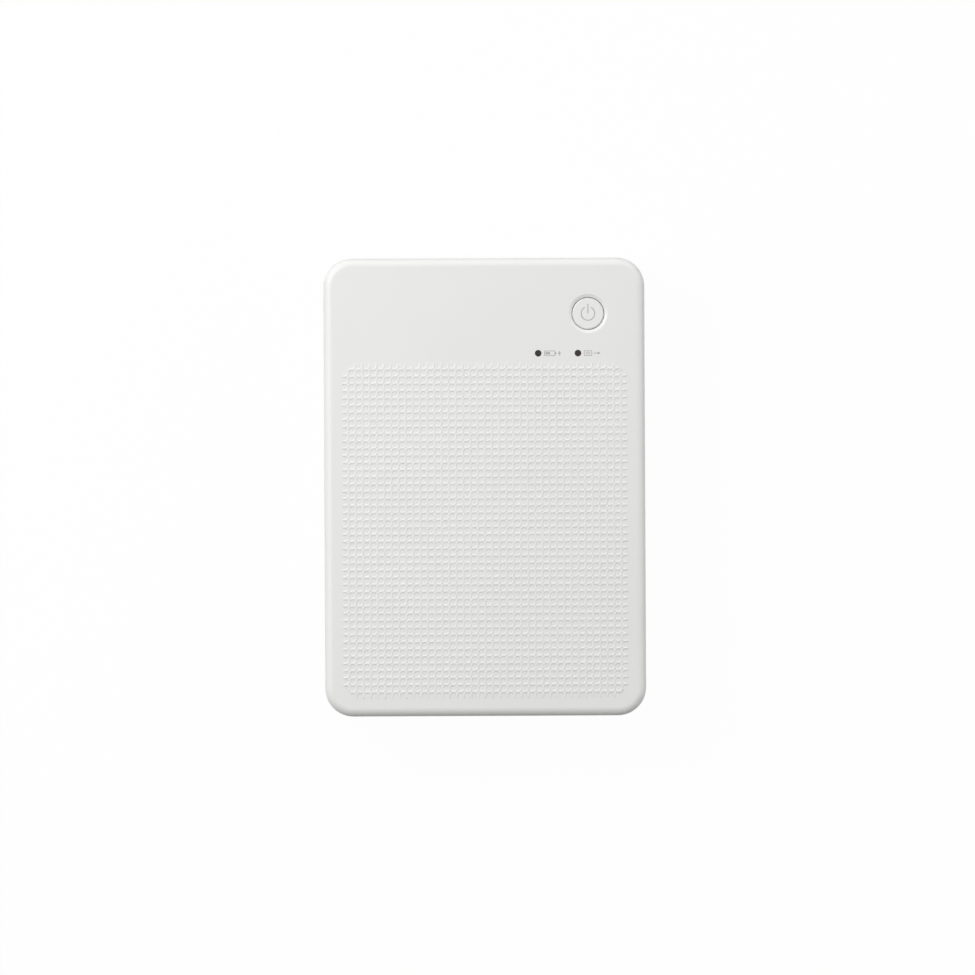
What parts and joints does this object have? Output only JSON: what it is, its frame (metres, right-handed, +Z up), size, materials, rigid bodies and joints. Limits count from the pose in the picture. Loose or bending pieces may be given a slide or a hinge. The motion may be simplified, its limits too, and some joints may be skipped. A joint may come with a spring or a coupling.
{
  "type": "compact photo printer",
  "caption": "Compact photo printer: a shallow rounded case with a hinged paper cover, a round power button, a side ink door and a dye-sublimation mechanism.",
  "frame": {"origin": "centre of the footprint, on the surface that the feet stand on", "axes": "+X to the right and +Y towards the output end as seen from above, +Z up out of the top face"},
  "size_m": [0.1022, 0.1458, 0.0329],
  "materials": {
    "case_plastic": "satin",
    "cover_plastic": "satin",
    "button_plastic": "satin",
    "grey_plastic": "matt",
    "dark_plastic": "matt",
    "cassette_plastic": "satin",
    "gear_plastic": "satin",
    "smoked_plastic": "gloss",
    "rubber": "matt",
    "cork": "matt",
    "sheet_steel": "satin",
    "steel": "polished",
    "screw_steel": "satin",
    "aluminium": "satin",
    "brass": "satin",
    "board": "satin",
    "ceramic": "satin",
    "ink_film": "gloss",
    "battery": "satin",
    "led": "gloss"
  },
  "bodies": {
    "case": {"lower_case": "case_plastic", "rubber_feet": "rubber", "case_screws": "screw_steel", "hinge_pins": "steel", "ink_door_rod": "steel", "paper_tray": "dark_plastic", "tray_screws": "screw_steel", "mechanism_deck": "dark_plastic", "deck_screws": "screw_steel", "left_plate": "sheet_steel", "right_plate": "sheet_steel", "roller_bushes": "gear_plastic", "feed_motor": "sheet_steel", "idler_studs": "steel", "main_board": "board", "board_screws": "screw_steel", "board_parts": "smoked_plastic", "usb_socket": "sheet_steel", "battery_pack": "battery", "control_board": "board", "button_switch": "smoked_plastic", "indicator_leds": "led", "cassette_shell": "cassette_plastic", "ink_film": "ink_film"},
    "cover": {"top_cover": "cover_plastic", "cover_liner": "grey_plastic", "liner_screws": "screw_steel", "button_retainer": "grey_plastic", "retainer_screws": "screw_steel", "button_washer": "steel", "charge_light_guide": "smoked_plastic", "status_light_guide": "smoked_plastic", "pressure_springs": "steel"},
    "button": {"power_button": "button_plastic"},
    "press": {"pressure_plate": "grey_plastic", "pressure_pad": "cork"},
    "slider": {"cover_slider": "button_plastic"},
    "door": {"ink_door": "case_plastic"},
    "supply": {"supply_spool": "gear_plastic", "supply_roll": "ink_film"},
    "takeup": {"takeup_spool": "gear_plastic", "takeup_roll": "ink_film"},
    "pinion": {"motor_pinion": "brass"},
    "pick": {"pick_shaft": "steel", "pick_tyres": "rubber"},
    "idler_1": {"idler_gear_1": "gear_plastic"},
    "idler_2": {"idler_gear_2": "gear_plastic"},
    "idler_3": {"idler_gear_3": "gear_plastic"},
    "capstan_roller": {"capstan": "steel"},
    "pinch": {"pinch_roller": "rubber"},
    "platen": {"platen_shaft": "steel", "platen_rubber": "rubber"},
    "ribbon": {"ribbon_drive": "gear_plastic"},
    "cam": {"head_cam": "gear_plastic"},
    "head": {"head_carrier": "sheet_steel", "heat_sink": "aluminium", "head_board": "ceramic"}
  },
  "joints": [
    {"name": "cover_hinge", "type": "hinge", "parent": "case", "child": "cover", "pos_m": [0, 0.0689, 0.0268], "axis": [-1, 0, 0], "range_deg": [0, 70]},
    {"name": "power_button_press", "type": "slide", "parent": "cover", "child": "button", "axis": [0, 0, -1], "range_m": [0, 0.0005], "stiffness_N_per_m": 600, "springref_m": -0.001, "deforming": ["button_washer"]},
    {"name": "pressure_plate_tilt", "type": "hinge", "parent": "cover", "child": "press", "pos_m": [0, -0.0205, 0.02515], "axis": [1, 0, 0], "range_deg": [0, 5], "stiffness_Nm_per_rad": 0.27, "springref_deg": -5.73, "deforming": ["pressure_springs"]},
    {"name": "cover_slider_slide", "type": "slide", "parent": "case", "child": "slider", "axis": [0, 1, 0], "range_m": [0, 0.004]},
    {"name": "ink_door_hinge", "type": "hinge", "parent": "case", "child": "door", "pos_m": [0.0499, 0, 0.0048], "axis": [0, 1, 0], "range_deg": [0, 90]},
    {"name": "supply_spool_spin", "type": "hinge", "parent": "case", "child": "supply", "pos_m": [0, 0.0302, 0.0124], "axis": [1, 0, 0], "continuous": true},
    {"name": "feed_motor_spin", "type": "hinge", "parent": "case", "child": "pinion", "pos_m": [0, 0.00137, 0.01035], "axis": [1, 0, 0], "continuous": true},
    {"name": "pick_roller_spin", "type": "hinge", "parent": "case", "child": "pick", "pos_m": [0, 0.0082, 0.0153], "axis": [1, 0, 0], "continuous": true},
    {"name": "idler_gear_1_spin", "type": "hinge", "parent": "case", "child": "idler_1", "pos_m": [0, 0.0147, 0.00946], "axis": [1, 0, 0], "continuous": true},
    {"name": "capstan_spin", "type": "hinge", "parent": "case", "child": "capstan_roller", "pos_m": [0, 0.02, 0.0164], "axis": [1, 0, 0], "continuous": true},
    {"name": "idler_gear_2_spin", "type": "hinge", "parent": "case", "child": "idler_2", "pos_m": [0, 0.03109, 0.01361], "axis": [1, 0, 0], "continuous": true},
    {"name": "idler_gear_3_spin", "type": "hinge", "parent": "case", "child": "idler_3", "pos_m": [0, 0.04424, 0.01505], "axis": [1, 0, 0], "continuous": true},
    {"name": "ribbon_drive_spin", "type": "hinge", "parent": "case", "child": "ribbon", "pos_m": [0, 0.0572, 0.0124], "axis": [1, 0, 0], "continuous": true},
    {"name": "takeup_spool_spin", "type": "hinge", "parent": "case", "child": "takeup", "pos_m": [0, 0.0572, 0.0124], "axis": [1, 0, 0], "continuous": true},
    {"name": "pinch_roller_spin", "type": "hinge", "parent": "case", "child": "pinch", "pos_m": [0, 0.02, 0.0219], "axis": [1, 0, 0], "continuous": true},
    {"name": "platen_roller_spin", "type": "hinge", "parent": "case", "child": "platen", "pos_m": [0, 0.0437, 0.0238], "axis": [1, 0, 0], "continuous": true},
    {"name": "head_lift_hinge", "type": "hinge", "parent": "case", "child": "head", "pos_m": [0, 0.0655, 0.0054], "axis": [-1, 0, 0], "range_deg": [0, 7.11]},
    {"name": "head_cam_turn", "type": "hinge", "parent": "case", "child": "cam", "pos_m": [0, 0.0572, 0.0124], "axis": [-1, 0, 0], "range_deg": [-0.5, 180.5]}
  ],
  "couplings": [
    {"joint": "pick_roller_spin", "follows": "feed_motor_spin", "ratio": -0.75},
    {"joint": "idler_gear_1_spin", "follows": "feed_motor_spin", "ratio": 0.92308},
    {"joint": "capstan_spin", "follows": "feed_motor_spin", "ratio": -0.75},
    {"joint": "idler_gear_2_spin", "follows": "feed_motor_spin", "ratio": 0.54545},
    {"joint": "idler_gear_3_spin", "follows": "feed_motor_spin", "ratio": -0.54545},
    {"joint": "ribbon_drive_spin", "follows": "feed_motor_spin", "ratio": 0.54545},
    {"joint": "takeup_spool_spin", "follows": "feed_motor_spin", "ratio": 0.54545},
    {"joint": "head_cam_turn", "follows": "head_lift_hinge", "ratio": 25.3}
  ]
}
